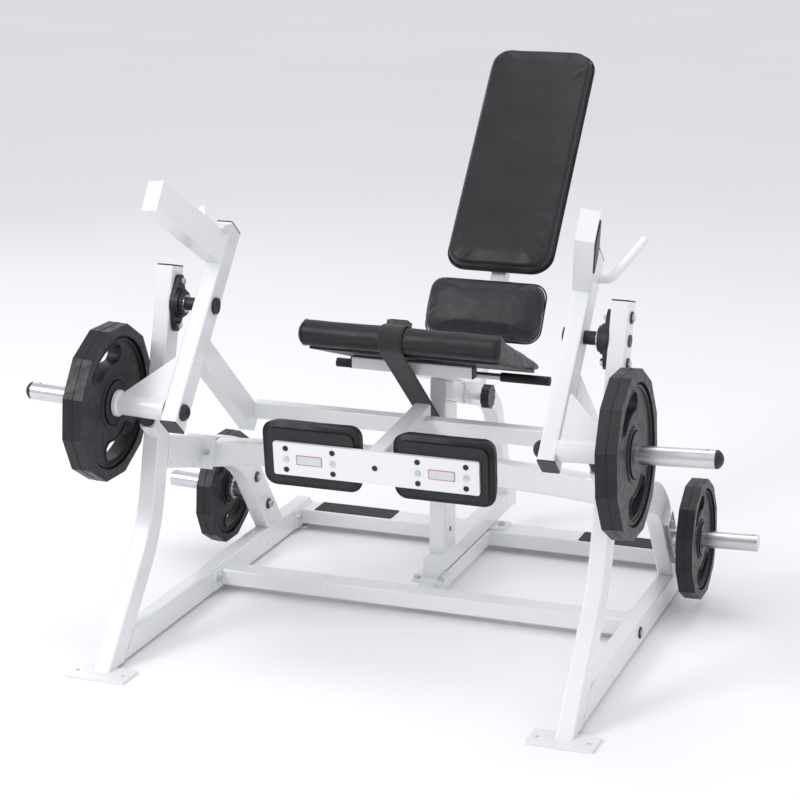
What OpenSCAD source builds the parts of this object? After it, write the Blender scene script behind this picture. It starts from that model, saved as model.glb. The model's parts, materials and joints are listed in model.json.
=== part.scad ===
// Plate-loaded leg extension machine. Units mm.
// X to the right seen from the front, Y to the rear, Z up, floor at z = 0.

/* [Node] */
// Which sub-part to make

/* [Base frame] */
// Distance of the side frames' centre planes from the middle
side_x = 667; // [560:1:760]
// Width of the main tubes
tube_w = 50; // [40:1:60]
// Depth of the main tubes
tube_d = 76; // [60:1:90]
// Depth of the rear arches
arch_d = 95; // [76:1:110]
// Wall of the tubes
wall = 3; // [2:0.5:5]
// Corner radius of the tubes
corner = 6; // [3:1:10]
// Rear end of the base rails
rail_end = 1350; // [1200:5:1500]
// Thickness of the foot plates
foot_t = 8; // [5:1:12]

/* [Knee axis] */
// Knee axis, distance along Y before centring
knee_y = 318; // [280:1:360]
// Knee axis height
knee_z = 966; // [900:1:1020]
// Angle of the arms above the horizontal
arm_ang = 50.65; // [40:0.05:60]
// Diameter of the pivot shafts
shaft_d = 38; // [30:1:45]
// Radial clearance of the shafts in their bearings
shaft_gap = 0.06; // [0.01:0.01:0.1]

/* [Swing frame] */
// Middle plane of the arms
arm_x = 544; // [500:1:580]
// Arm length below the knee axis
arm_low = 383; // [320:1:420]
// Arm length above the knee axis
arm_up = 252; // [200:1:300]
// Horn position below the knee axis
horn_low = 343; // [300:1:360]
// Upward tilt of the horns
horn_tilt = 2.5; // [0:0.1:5]
// Diameter of the loading horns
horn_d = 50; // [48:0.5:51]
// End of the loading horns, measured from the arm's inner face
horn_len = 466; // [380:1:500]

/* [Plates] */
// Corner-to-corner diameter of the loaded plates
plate_d = 450; // [440:1:455]
// Rim thickness of the loaded plates
plate_t = 58; // [40:1:70]
// Corner-to-corner diameter of the stored plates
store_d = 362; // [340:1:380]
// Rim thickness of the stored plates
store_t = 50; // [35:1:60]
// Radial clearance of the plates on the horns
plate_gap = 0.1; // [0.05:0.01:0.1]

/* [Seat] */
// Half width of the seat pad
seat_hw = 305; // [260:1:330]
// Slope of the seat rail
rail_slope = 16.5; // [12:0.1:20]
// Half width of the back pad
back_hw = 173; // [150:1:200]
// Length of the back pad
back_len = 807; // [700:1:850]
// Recline of the back pad from the vertical
back_rec = 39; // [30:0.5:45]
// Half width of the lumbar pad
lumbar_hw = 190; // [160:1:210]

/* [Hidden] */
$fn = 48;
y_mid = 833.7;
mir = [1, 0, 0];
post_ang = 76.5;
foot_ang = 49.5;
post_r = 420;
up_len = 555.2;
xi = side_x - tube_w / 2;
xo = side_x + tube_w / 2;
ax_i = arm_x - tube_w / 2;
ax_o = arm_x + tube_w / 2;
hs = sin(rail_slope);
hc = cos(rail_slope);
horn_y = knee_y - horn_low * cos(arm_ang) - 12 * sin(arm_ang);
horn_z = knee_z - horn_low * sin(arm_ang) + 12 * cos(arm_ang);
stop_z = horn_z + (side_x - 8 - ax_i) * tan(horn_tilt);

white = [0.93, 0.93, 0.94];
black = [0.05, 0.05, 0.055];
steel = [0.7, 0.7, 0.72];
vinyl = [0.08, 0.085, 0.09];

// ---------- helpers ----------

module centred() {
  translate([0, -y_mid, 0])
    children();
}

module pair() {
  children();
  mirror(mir)
    children();
}

// rounded rectangle, exact arcs
module rr(w, d, r) {
  square([w - 2 * r, d], center = true);
  square([w, d - 2 * r], center = true);
  for (i = [-1, 1])
    for (j = [-1, 1])
      translate([i * (w / 2 - r), j * (d / 2 - r)])
        circle(r);
}

// hollow tube section
module sec(w, d) {
  difference() {
    rr(w, d, corner);
    square([w - 2 * wall, d - 2 * wall], center = true);
  }
}

// place at (y, z) in plane x, local +Y at angle ang above horizontal
module at(x, y, z, ang) {
  translate([x, y, z])
    rotate([ang, 0, 0])
      children();
}

// straight tube along local +Y
module seg(w, d, len) {
  rotate([-90, 0, 0])
    linear_extrude(len)
      sec(w, d);
}

module solid_seg(w, d, len) {
  rotate([-90, 0, 0])
    linear_extrude(len)
      rr(w, d, corner);
}

// bent tube, turning up from local +Y
module arc(w, d, r, sweep) {
  translate([0, 0, r])
    rotate([0, 90, 0])
      rotate_extrude(angle = sweep)
        translate([r, 0])
          sec(d, w);
}

// flat shape given in (y, z), thick along x
module slab(x0, t) {
  translate([x0, 0, 0])
    rotate([90, 0, 90])
      linear_extrude(t)
        children();
}

// cylinder along +x
module xcyl(x0, y, z, r, len) {
  translate([x0, y, z])
    rotate([0, 90, 0])
      cylinder(r = r, h = len);
}

// hexagon nut or bolt head along +x
module xhex(x0, y, z, af, len) {
  translate([x0, y, z])
    rotate([0, 90, 0])
      cylinder(r = af / 1.732, h = len, $fn = 6);
}

// washer along +x
module xwasher(x0, y, z, r, t) {
  difference() {
    xcyl(x0, y, z, r, t);
    xcyl(x0 - 1, y, z, 6.4, t + 2);
  }
}

// knee frame: local +Y up the arm, +Z to the front
module knee() {
  at(0, knee_y, knee_z, arm_ang)
    children();
}

function post_pt(s) = [knee_y + s * cos(post_ang), knee_z + s * sin(post_ang)];

// ---------- posts ----------

module post_shape() {
  pe = post_pt(-up_len);
  cx = pe[0] - post_r * sin(post_ang);
  cz = pe[1] + post_r * cos(post_ang);
  py = cx + post_r * sin(foot_ang);
  pz = cz - post_r * cos(foot_ang);
  at(side_x, pe[0], pe[1], post_ang)
    translate([0, 0.02, -0.06])
      seg(tube_w, tube_d, up_len + 103.94);
  at(side_x, py, pz, foot_ang)
    arc(tube_w, tube_d, post_r, post_ang - foot_ang);
  at(side_x, py, pz, foot_ang)
    translate([0, -400, 0])
      seg(tube_w, tube_d, 400);
}

module post_block() {
  pe = post_pt(-up_len);
  at(side_x, pe[0], pe[1], post_ang)
    translate([-tube_w, -1, -tube_d / 2 + 1.5])
      cube([2 * tube_w, up_len + 105, tube_d - 3]);
}

module post_face() {
  pe = post_pt(-up_len);
  at(side_x, pe[0], pe[1], post_ang)
    translate([-tube_w, -1, -tube_d / 2 - 0.08])
      cube([2 * tube_w, up_len + 105, tube_d]);
}

module post_one() {
  difference() {
    post_shape();
    translate([side_x - 60, -400, -200])
      cube([120, 600, 200 + foot_t]);
    bearing_holes();
  }
  // stub that carries the rear arch
  difference() {
    at(side_x, 691, 422.3, -14.8)
      translate([0, -470, 0])
        seg(tube_w, arch_d, 251);
    post_face();
  }
  at(side_x, 691, 422.3, -14.8)
    translate([0, -219, 0])
      arch_flange();
  // bracket behind the rest bumper
  difference() {
    at(side_x - 8, horn_y, stop_z, -41.35)
      translate([0, 91, 0])
        solid_seg(44, 44, 90);
    post_block();
  }
}

module arch_flange() {
  difference() {
    translate([-59, 0, -50])
      cube([86, 8, 100]);
    translate([-42, -1, 0])
      rotate([-90, 0, 0])
        cylinder(r = 6.4, h = 10);
  }
}

module bearing_holes() {
  for (s = [-62.5, 62.5])
    xcyl(xi - 1, post_pt(s)[0], post_pt(s)[1], 6.4, tube_w + 2);
}

module post_left() {
  color(white)
    mirror(mir)
      centred()
        post_one();
}

module post_right() {
  color(white)
    centred()
      post_one();
}

module post_caps() {
  e = post_pt(104);
  color(black)
    centred()
      pair() {
        at(side_x, e[0], e[1], post_ang)
          rotate([-90, 0, 0])
            linear_extrude(4)
              rr(tube_w, tube_d, corner);
        at(side_x, e[0], e[1], post_ang)
          translate([-20, -16, -33])
            cube([40, 16, 66]);
      }
}

// ---------- base ----------

module foot_plate() {
  difference() {
    translate([side_x, -158, 0])
      linear_extrude(foot_t)
        rr(181, 96, 6);
    for (i = [-70, 70])
      translate([side_x + i, -161, -1])
        cylinder(r = 6.5, h = foot_t + 2);
  }
}

module foot_plates() {
  color(white)
    centred()
      pair() {
        foot_plate();
        translate([side_x, rail_end - 45, 0])
          linear_extrude(foot_t)
            rr(90, 90, 6);
      }
}

module base_rail() {
  difference() {
    at(side_x, -130, foot_t + tube_d / 2, 0)
      seg(tube_w, tube_d, rail_end + 130 - 4);
    // mitre against the post
    at(side_x, -58.5, foot_t, foot_ang)
      translate([-60, -200, 0])
        cube([120, 600, 300]);
    xcyl(xi - 1, 565, 50, 6.4, tube_w + 2);
    xcyl(xi - 1, 1225, 50, 6.4, tube_w + 2);
  }
  translate([side_x - tube_w / 2, rail_end - 4, foot_t])
    cube([tube_w, 4, tube_d]);
}

module base_rails() {
  color(white)
    centred()
      pair()
        base_rail();
}

module arch_one() {
  at(side_x, 691, 422.3, -14.8)
    translate([0, -211, 0])
      arch_flange();
  at(side_x, 691, 422.3, -14.8)
    translate([0, -203, 0])
      seg(tube_w, arch_d, 203);
  at(side_x, 691, 422.3, -14.8)
    mirror([0, 0, 1])
      arc(tube_w, arch_d, 360, 37.2);
  difference() {
    at(side_x, 882.8, 295.8, -52)
      seg(tube_w, arch_d, 400);
    translate([side_x - 60, 700, -300])
      cube([120, 800, 300 + foot_t + tube_d]);
    at(0, 938, 226, -52)
      for (s = [-73, 73])
        xcyl(xi - 1, s, 0, 6.4, tube_w + 2);
  }
}

module rear_arch_left() {
  color(white)
    mirror(mir)
      centred()
        arch_one();
}

module rear_arch_right() {
  color(white)
    centred()
      arch_one();
}

module end_flange(y0, y1, hy) {
  difference() {
    translate([xi - 8, y0, 16])
      cube([8, y1 - y0, 60]);
    xcyl(xi - 10, hy, 50, 6.4, 12);
  }
}

module front_crossbar() {
  color(white)
    centred() {
      translate([-(xi - 8), 633, 46])
        rotate([0, 90, 0])
          linear_extrude(2 * (xi - 8))
            sec(50, tube_d);
      pair()
        end_flange(540, 676, 565);
    }
}

module rear_crossbar() {
  color(white)
    centred() {
      translate([-(xi - 8), 1300, 46])
        rotate([0, 90, 0])
          linear_extrude(2 * (xi - 8))
            sec(50, 100);
      pair()
        end_flange(1200, 1346, 1225);
    }
}

module grip_treads() {
  color(black)
    centred()
      pair()
        translate([455, 1300, 71])
          linear_extrude(2.5)
            rr(270, 90, 4);
}

module spine_tube() {
  color(white)
    centred()
      translate([0, 671, 46])
        rotate([-90, 0, 0])
          linear_extrude(579)
            sec(50, 50);
}

module cross_beam() {
  color(white)
    centred() {
      intersection() {
        translate([0, -1540, 452])
          rotate([0, 0, 70])
            rotate_extrude(angle = 40)
              translate([2217, 0])
                sec(50, tube_d);
        translate([-(xi - 8), 400, 300])
          cube([2 * (xi - 8), 400, 300]);
      }
      pair()
        translate([xi - 8, 536, 414])
          cube([8, 96, 68]);
    }
}

// ---------- seat frame ----------

module seat_base() {
  color(white)
    centred() {
      translate([0, 735, 71 + 8 + 30])
        rotate([-90, 0, 0])
          linear_extrude(805)
            sec(tube_w, 60);
      difference() {
        translate([-50, 690, 71])
          cube([100, 110, 8]);
        for (i = [-38, 38])
          translate([i, 712, 70])
            cylinder(r = 6.4, h = 10);
      }
      difference() {
        translate([-70, 1262, 71])
          cube([140, 80, 8]);
        for (i = [-50, 50])
          translate([i, 1302, 70])
            cylinder(r = 6.4, h = 10);
      }
      translate([-25, 731, 79])
        cube([50, 4, 60]);
      translate([-25, 1540, 79])
        cube([50, 4, 60]);
    }
}

// top line of the rail in (y, z)
function rail_z(y) = 796.4 - 0.2962 * (y - 414.2);

module rail_block(d) {
  at(0, 700, rail_z(700), -rail_slope)
    translate([-60, 0, -d])
      cube([120, 700, d + 200]);
}

module seat_column() {
  color(white)
    centred() {
      difference() {
        translate([0, 837, 139])
          linear_extrude(560)
            sec(tube_w, 110);
        rail_block(60.7);
        xcyl(20, 837, 205, 9, 10);
      }
    }
}

module seat_rail() {
  color(white)
    centred() {
      difference() {
        at(0, 1250.8, 516.8, 180 - rail_slope)
          mirror([0, 0, 1])
            seg(tube_w, 60, 520);
        translate([-60, 600, 500])
          cube([120, 182, 400]);
      }
      at(0, 1250.8, 516.8, -rail_slope)
        mirror([0, 0, 1])
          arc(tube_w, 60, 170, 50.4);
      difference() {
        at(0, 1358.9, 420.5, 113.1)
          translate([0, -380, 0])
            seg(tube_w, 60, 380);
        translate([-60, 1200, -200])
          cube([120, 500, 339]);
      }
    }
}

module seat_bracket() {
  color(white)
    centred() {
      // plate on the rail, under the seat
      at(0, 540, rail_z(540), -rail_slope)
        translate([-60, 0, 0.3])
          cube([120, 330, 8]);
      // transverse tube
      translate([-183, 551, 779.6])
        rotate([0, 90, 0])
          linear_extrude(366)
            difference() {
              rr(35, 35, 4);
              square([29, 29], center = true);
            }
      // rear stand-offs
      for (i = [-45, 45])
        at(i, 790, rail_z(790), -rail_slope)
          translate([0, 0, 8.3])
            cylinder(r = 9, h = 36.8);
      // saddles of the grip bar
      for (i = [-35, 25])
        difference() {
          translate([i, 805, 682])
            cube([10, 20, 22]);
          xcyl(i - 1, 815, 704, 10.1, 12);
        }
    }
}

module seat_board() {
  color(black)
    centred()
      at(0, 456, 831.16, -rail_slope)
        translate([-285, 0, 0])
          cube([570, 383, 12]);
}

module seat_pad() {
  color(vinyl)
    centred()
      slab(-seat_hw, 2 * seat_hw) {
        translate([440, 882])
          circle(39);
        polygon([[454.6, 918.2], [842, 761.5], [833, 732.5], [452, 845.3], [425, 870]]);
      }
}

module lap_belt() {
  color(black)
    centred()
      slab(-55, 72) {
        translate([440, 882])
          difference() {
            circle(43.4);
            circle(39.4);
            polygon([[0, 0], [41.2, 102], [200, 100], [200, -200], [-64.5, -81.1]]);
          }
        // over the seat
        polygon([[454.76, 918.53], [456.26, 922.24], [516.5, 897.9], [515, 894.2]]);
        // down to the column
        polygon([[415.47, 851.17], [412.98, 848.04], [776.5, 558.9], [779, 562]]);
      }
}

module belt_buckle() {
  color(black)
    centred() {
      at(0, 455.5, 922.8, -22)
        translate([-50, 4, 0.4])
          cube([62, 44, 14]);
      // anchor on the column
      translate([-30, 776, 541])
        difference() {
          cube([60, 6, 17.6]);
          translate([30, -1, 9])
            rotate([-90, 0, 0])
              cylinder(r = 4, h = 8);
        }
    }
}

module grip_bar() {
  color(steel)
    centred() {
      xcyl(-332, 815, 704, 10, 664);
    }
}

module grip_sleeves() {
  color(black)
    centred()
      pair() {
        difference() {
          xcyl(186, 815, 704, 14, 151);
          xcyl(185, 815, 704, 10.02, 147);
        }
      }
}

// ---------- storage horns ----------

module storage_one() {
  difference() {
    at(0, 938, 226, -52)
      translate([xo, -100, -30])
        cube([10, 200, 60]);
    at(0, 938, 226, -52)
      for (s = [-73, 73])
        xcyl(xo - 1, s, 0, 6.4, 12);
  }
  translate([xo + 8, 938, 226])
    rotate([0, -2, 0]) {
      xcyl(0, 0, 0, 31, 36);
      xcyl(36, 0, 0, 38, 8);
      difference() {
        xcyl(44, 0, 0, horn_d / 2, 211);
        translate([240, 0, -40])
          cylinder(r = 4, h = 80);
        // stop groove just outside the stored plate
        difference() {
          xcyl(96.5, 0, 0, horn_d / 2 + 2, 1.5);
          xcyl(96, 0, 0, horn_d / 2 - 0.8, 3);
        }
      }
    }
}

module storage_horn_left() {
  color(steel)
    mirror(mir)
      centred()
        storage_one();
}

module storage_horn_right() {
  color(steel)
    centred()
      storage_one();
}

// ---------- bumpers and bearings ----------

module rest_bumpers() {
  color(black)
    centred()
      pair()
        at(side_x - 8, horn_y, stop_z, -41.35)
          rotate([-90, 0, 0]) {
            translate([0, 0, 31.9])
              cylinder(r = 22, h = 50);
            translate([0, 0, 81.9])
              cylinder(r = 19, h = 9.1);
          }
}

module housing_shape() {
  circle(43);
  for (i = [-1, 1])
    translate([0, i * 62.5])
      circle(19);
  polygon([[-39, 17], [-17.5, 70], [17.5, 70], [39, 17], [39, -17], [17.5, -70], [-17.5, -70], [-39, -17]]);
}

module bearing_housings() {
  color(black)
    centred()
      pair()
        difference() {
          union() {
            at(0, knee_y, knee_z, post_ang - 90)
              slab(xi - 14, 14)
                housing_shape();
            xcyl(xi - 32, knee_y, knee_z, 36, 20);
            xcyl(xi - 24, knee_y, knee_z, 42, 12);
          }
          xcyl(xi - 40, knee_y, knee_z, 26, 60);
          bearing_holes_wide();
        }
}

module bearing_holes_wide() {
  for (s = [-62.5, 62.5])
    xcyl(xi - 30, post_pt(s)[0], post_pt(s)[1], 6.4, 60);
}

module bearing_inserts() {
  color(steel)
    centred()
      pair()
        difference() {
          xcyl(xi - 37, knee_y, knee_z, 26, 34);
          xcyl(xi - 50, knee_y, knee_z, shaft_d / 2 + shaft_gap, 60);
        }
}

// ---------- fasteners ----------

// through bolt along x, head outside, nut inside
module bolt_x(y, z, x_nut, x_head) {
  xcyl(x_nut - 7, y, z, 6, x_head - x_nut + 8);
  xhex(x_nut - 10, y, z, 18, 10);
  xcyl(x_head, y, z, 11, 3);
  xcyl(x_head + 3, y, z, 9, 3);
}

module bolt_z(x, y, z, len) {
  translate([x, y, z - len])
    cylinder(r = 6, h = len + 2);
  translate([x, y, z])
    cylinder(r = 19 / 1.732, h = 9, $fn = 6);
}

module frame_bolts() {
  color(steel)
    centred() {
      pair() {
        for (s = [-62.5, 62.5])
          bolt_x(post_pt(s)[0], post_pt(s)[1], xi - 14, xo + 4);
        bolt_x(565, 50, xi - 8, xo + 4);
        bolt_x(1225, 50, xi - 8, xo + 4);
        at(0, 938, 226, -52)
          for (s = [-73, 73])
            bolt_x(s, 0, xi - 4, xo + 10);
        at(side_x - 42, 691, 422.3, -14.8)
          rotate([-90, 0, 0])
            translate([0, 0, -219]) {
              translate([0, 0, -2])
                cylinder(r = 6, h = 26);
              translate([0, 0, -8])
                cylinder(r = 18 / 1.732, h = 8, $fn = 6);
              translate([0, 0, 16])
                cylinder(r = 18 / 1.732, h = 8, $fn = 6);
            }
      }
      for (i = [-38, 38])
        bolt_z(i, 712, 79, 8);
      for (i = [-50, 50])
        bolt_z(i, 1302, 79, 8);
      // belt anchor screw
      translate([0, 771, 550])
        rotate([-90, 0, 0]) {
          cylinder(r = 8, h = 5);
          cylinder(r = 3.8, h = 11);
        }
    }
}

module black_washers() {
  color(black)
    centred() {
      pair() {
        for (s = [-62.5, 62.5])
          xwasher(xo, post_pt(s)[0], post_pt(s)[1], 17, 4);
        xcyl(xo, knee_y, knee_z, 17, 4);
        xwasher(xo, 565, 50, 17, 4);
        xwasher(xo, 1225, 50, 17, 4);
        at(0, 938, 226, -52)
          for (s = [-73, 73])
            xwasher(xi - 4, s, 0, 17, 4);
        // plugs of the transverse seat tube
        translate([183, 551, 779.6])
          rotate([0, 90, 0])
            linear_extrude(4)
              rr(35, 35, 4);
      }
      xcyl(21, 837, 205, 9, 4);
    }
}

// ---------- swing frame ----------

module arm_one() {
  knee()
    translate([arm_x, -arm_low, 0])
      seg(tube_w, tube_d, arm_low + arm_up);
}

module arm_left() {
  color(white)
    mirror(mir)
      centred()
        arm_one();
}

module arm_right() {
  color(white)
    centred()
      arm_one();
}

module arm_caps() {
  color(black)
    centred()
      pair()
        knee() {
          translate([arm_x, arm_up, 0])
            solid_seg(tube_w, tube_d, 4);
          translate([arm_x - 20, arm_up - 14, -33])
            cube([40, 14, 66]);
          translate([arm_x, -arm_low - 4, 0])
            solid_seg(tube_w, tube_d, 4);
          translate([arm_x - 20, -arm_low, -33])
            cube([40, 14, 66]);
        }
}

module counterweight_one() {
  knee() {
    difference() {
      translate([arm_x, 166, 38])
        rotate([0, 12.8, 0])
          rotate([3.75, 0, 0])
            translate([-26, -45, -60])
              cube([52, 90, 390]);
      translate([300, -100, -400])
        cube([500, 600, 400 + tube_d / 2]);
    }
    // filler between the box and the arm's top
    translate([ax_i, 0, 0])
      rotate([90, 0, 90])
        linear_extrude(tube_w)
          polygon([[205, 38], [248, 38], [214, 84], [205, 84]]);
  }
}

module counterweights() {
  color(white)
    centred()
      pair()
        counterweight_one();
}

module handle_one() {
  knee()
    translate([ax_o, 190, -20])
      rotate([-10.3, 0, 0]) {
        rotate([0, 90, 0])
          cylinder(r = 12.5, h = 14);
        translate([14, 30, 0])
          rotate([0, 0, -90])
            rotate_extrude(angle = 66.3)
              translate([30, 0])
                circle(12.5);
        translate([14 + 30 * sin(66.3), 30 - 30 * cos(66.3), 0])
          rotate([0, 0, 66.3])
            rotate([0, 90, 0])
              cylinder(r = 12.5, h = 142);
      }
}

module start_handles() {
  color(white)
    centred()
      pair()
        handle_one();
}

module pivot_shafts() {
  color(black)
    centred()
      pair() {
        xcyl(ax_o, knee_y, knee_z, shaft_d / 2, xi - 2 - ax_o);
        // boss on the arm's inner face
        xcyl(ax_i - 8, knee_y, knee_z, 24, 8);
      }
}

module at_horn() {
  translate([ax_i, horn_y, horn_z])
    rotate([0, -horn_tilt, 0])
      children();
}

module sleeve_one() {
  difference() {
    union() {
      at_horn() {
        xcyl(tube_w, 0, 0, 31, 142);
        xcyl(tube_w + 142, 0, 0, 38, 10);
      }
      // two gusset plates from the sleeve to the arm
      for (b = [-6, 26])
        knee()
          translate([0, 0, b])
            linear_extrude(6)
              polygon([[ax_o, -horn_low + 20], [ax_o, -horn_low + 158],
                [ax_o + 8, -horn_low + 158], [ax_o + 132, -horn_low + 36], [ax_o + 132, -horn_low + 20]]);
    }
    at_horn()
      xcyl(tube_w - 2, 0, 0, horn_d / 2 + 0.05, 160);
    knee()
      translate([ax_i, -arm_low, -tube_d / 2])
        cube([tube_w, 600, tube_d]);
  }
}

module horn_sleeves() {
  color(white)
    centred()
      pair()
        sleeve_one();
}

module loading_horns() {
  color(steel)
    centred()
      pair()
        at_horn()
          difference() {
            xcyl(tube_w + 2, 0, 0, horn_d / 2, horn_len - tube_w - 2);
            translate([horn_len - 22, 0, -40])
              cylinder(r = 4, h = 80);
            // stop groove just outside the loaded plate
            difference() {
              xcyl(tube_w + 211.5, 0, 0, horn_d / 2 + 2, 1.5);
              xcyl(tube_w + 211, 0, 0, horn_d / 2 - 0.8, 3);
            }
          }
}

module dome(r) {
  rotate([0, 90, 0])
    rotate_extrude()
      intersection() {
        translate([0, -r * 0.55])
          circle(r * 1.14);
        square([r, r]);
      }
}

module horn_caps() {
  color(black)
    centred()
      pair()
        at_horn() {
          xcyl(horn_len, 0, 0, 24.9, 6);
          translate([horn_len + 6, 0, 0])
            dome(24.9);
          mirror(mir) {
            xcyl(1.4, 0, 0, 24, 6);
            translate([7.4, 0, 0])
              dome(24);
          }
        }
}

module diagonal_tubes() {
  color(white)
    centred()
      pair()
        knee() {
          translate([arm_x, -129, -tube_d / 2])
            rotate([-90, 0, 0])
              seg(tube_w, tube_d, 450);
          translate([ax_i, -129 - tube_d / 2, -tube_d / 2 - 453])
            cube([tube_w, tube_d, 3]);
        }
}

module swing_crossbeam() {
  color(white)
    centred()
      translate([-ax_i, 613, 589.5])
        rotate([0, 90, 0])
          linear_extrude(2 * ax_i)
            sec(50, 50);
}

module centre_tube() {
  color(white)
    centred()
      difference() {
        at(0, 200, 586, 5.3)
          seg(50, 44, 440);
        translate([-60, 588, 564.5])
          cube([120, 50, 50]);
        at(0, 236, 563, 7.5)
          translate([-60, -200, -200])
            cube([120, 205, 400]);
      }
}

module at_ankle() {
  at(0, 236, 563, 7.5)
    children();
}

module ankle_plate() {
  color(white)
    centred()
      at_ankle()
        difference() {
          translate([0, 5, 0])
            rotate([90, 0, 0])
              linear_extrude(10)
                rr(610, 99, 6);
          for (x = [-267, -126, 126, 267])
            for (z = [-32, 0, 32])
              translate([x, 6, z])
                rotate([90, 0, 0])
                  cylinder(r = 6.2, h = 12);
          translate([0, 6, 0])
            rotate([90, 0, 0])
              cylinder(r = 6.2, h = 12);
        }
}

module ankle_bolts() {
  color(steel)
    centred()
      at_ankle()
        for (x = [-267, -126, 126, 267])
          translate([x, 5, 0])
            rotate([90, 0, 0]) {
              cylinder(r = 6, h = 11);
              translate([0, 0, 10])
                cylinder(r = 8.5, h = 3);
            }
}

module ankle_boards() {
  color(black)
    centred()
      at_ankle() {
        for (i = [-1, 1])
          translate([i * 196.5, 17, 5])
            rotate([90, 0, 0])
              linear_extrude(12)
                rr(262, 162, 24);
        for (x = [-267, -126, 126, 267])
          for (z = [-32, 32])
            translate([x, 5, z])
              rotate([90, 0, 0]) {
                cylinder(r = 6, h = 10);
                translate([0, 0, 10])
                  cylinder(r = 8, h = 1.5);
              }
        translate([0, 5, 0])
          rotate([90, 0, 0]) {
            cylinder(r = 6, h = 10);
            translate([0, 0, 10])
              cylinder(r = 8, h = 1.5);
          }
      }
}

module ankle_pad_one() {
  at_ankle()
    translate([196.5, 82, 5])
      rotate([90, 0, 0])
        linear_extrude(64.7)
          rr(297, 197, 34);
}

module ankle_pad_left() {
  color(vinyl)
    mirror(mir)
      centred()
        ankle_pad_one();
}

module ankle_pad_right() {
  color(vinyl)
    centred()
      ankle_pad_one();
}

// ---------- back carriage ----------

module back_carriage() {
  color(white)
    centred()
      difference() {
        at(0, 962, rail_z(962), -rail_slope) {
          translate([-34, 0, 0.4])
            cube([68, 290, 8]);
          for (x = [-34, 25.5])
            translate([x, 0, -60])
              cube([8.5, 290, 60.5]);
          // barrel of the clamp knob
          translate([34, 30, -32])
            rotate([0, 90, 0])
              cylinder(r = 14, h = 46);
        }
        at(0, 962, rail_z(962), -rail_slope)
          translate([20, 30, -32])
            rotate([0, 90, 0])
              cylinder(r = 6.05, h = 80);
      }
}

module star_knob() {
  color(black)
    centred()
      at(0, 962, rail_z(962), -rail_slope)
        translate([0, 30, -32])
          rotate([0, 90, 0]) {
            translate([0, 0, 80.4])
              linear_extrude(26)
                difference() {
                  circle(37);
                  for (k = [0:9])
                    rotate(36 * k)
                      translate([40.5, 0])
                        circle(7);
                }
            translate([0, 0, 26])
              cylinder(r = 6, h = 56);
          }
}

module back_line() {
  at(0, 1326.7, 938.9, 90 - back_rec)
    children();
}

module back_tube() {
  color(white)
    centred() {
      difference() {
        back_line()
          translate([0, -430, -90])
            seg(50, 50, 880);
        at(0, 900, rail_z(900), -rail_slope)
          translate([-60, 0, -300])
            cube([120, 500, 308.7]);
      }
      back_line()
        translate([0, 450, -90])
          solid_seg(50, 50, 3);
      // lumbar bracket
      difference() {
        translate([-20, 1230, 780])
          rotate([-30, 0, 0])
            translate([0, 0, -20])
              cube([40, 120, 40]);
        back_line()
          translate([-60, -400, -115])
            cube([120, 800, 50]);
        at(0, 1196.5, 831, 60)
          translate([-200, -200, -77])
            cube([400, 400, 277]);
        back_line()
          translate([-60, -400, -400])
            cube([120, 800, 290]);
      }
      // foot gusset
      difference() {
        slab(-5, 10)
          polygon([[1150, 560], [1228, 560], [1240, 690]]);
        back_line()
          translate([-60, -500, -115])
            cube([120, 800, 200]);
        at(0, 900, rail_z(900), -rail_slope)
          translate([-60, 0, -300])
            cube([120, 500, 308.5]);
      }
    }
}

module pad_boards() {
  color(black)
    centred() {
      back_line()
        translate([0, back_len / 2, -65])
          linear_extrude(14.7)
            rr(300, 760, 50);
      at(0, 1196.5, 831, 60)
        translate([0, 0, -77])
          linear_extrude(14.7)
            rr(330, 160, 40);
    }
}

module lumbar_pad() {
  color(vinyl)
    centred()
      at(0, 1196.5, 831, 60)
        translate([0, 0, -62])
          linear_extrude(62)
            rr(2 * lumbar_hw, 195, 45);
}

module back_pad() {
  color(vinyl)
    centred()
      back_line()
        translate([0, back_len / 2, -50])
          linear_extrude(50)
            rr(2 * back_hw, back_len, 62);
}

// ---------- plates ----------

module kidney(rm, hw, half) {
  difference() {
    circle(rm + hw);
    circle(rm - hw);
    polygon([[0, 0], [2 * rm * sin(half), 2 * rm * cos(half)], [2 * rm, 2 * rm], [2 * rm, -2 * rm],
      [-2 * rm, -2 * rm], [-2 * rm, 2 * rm], [-2 * rm * sin(half), 2 * rm * cos(half)]]);
  }
  for (i = [-1, 1])
    translate([i * rm * sin(half), rm * cos(half)])
      circle(hw);
}

// plate along +x from 0, with recessed faces and two grip windows
module plate(d, t) {
  k = d / 450;
  rotate([0, 90, 0])
    difference() {
      rotate(15)
        cylinder(r = d / 2, h = t, $fn = 12);
      for (z = [-1, t - 11])
        translate([0, 0, z])
          difference() {
            cylinder(r = 190 * k, h = 12);
            translate([0, 0, -1])
              cylinder(r = 62 * k, h = 14);
          }
      for (z = [-1, t - 3])
        translate([0, 0, z])
          cylinder(r = 62 * k + 0.01, h = 4);
      for (a = [110, -74])
        rotate(a)
          translate([0, 0, -1])
            linear_extrude(t + 2)
              kidney(140 * k, 26 * k, 24);
      translate([0, 0, -1])
        cylinder(r = horn_d / 2 + plate_gap, h = t + 2);
      // seat of the iron core
      translate([0, 0, t / 2 - 13])
        difference() {
          cylinder(r = 105 * k, h = 26);
          translate([0, 0, -1])
            cylinder(r = 34 * k, h = 28);
        }
    }
}

module core(d, t) {
  k = d / 450;
  rotate([0, 90, 0])
    translate([0, 0, t / 2 - 12.9])
      difference() {
        cylinder(r = 105 * k - 0.1, h = 25.8);
        translate([0, 0, -1])
          cylinder(r = 34 * k + 0.1, h = 28);
      }
}

module on_horn() {
  at_horn()
    translate([tube_w + 152.2, 0, 0])
      children();
}

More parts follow.
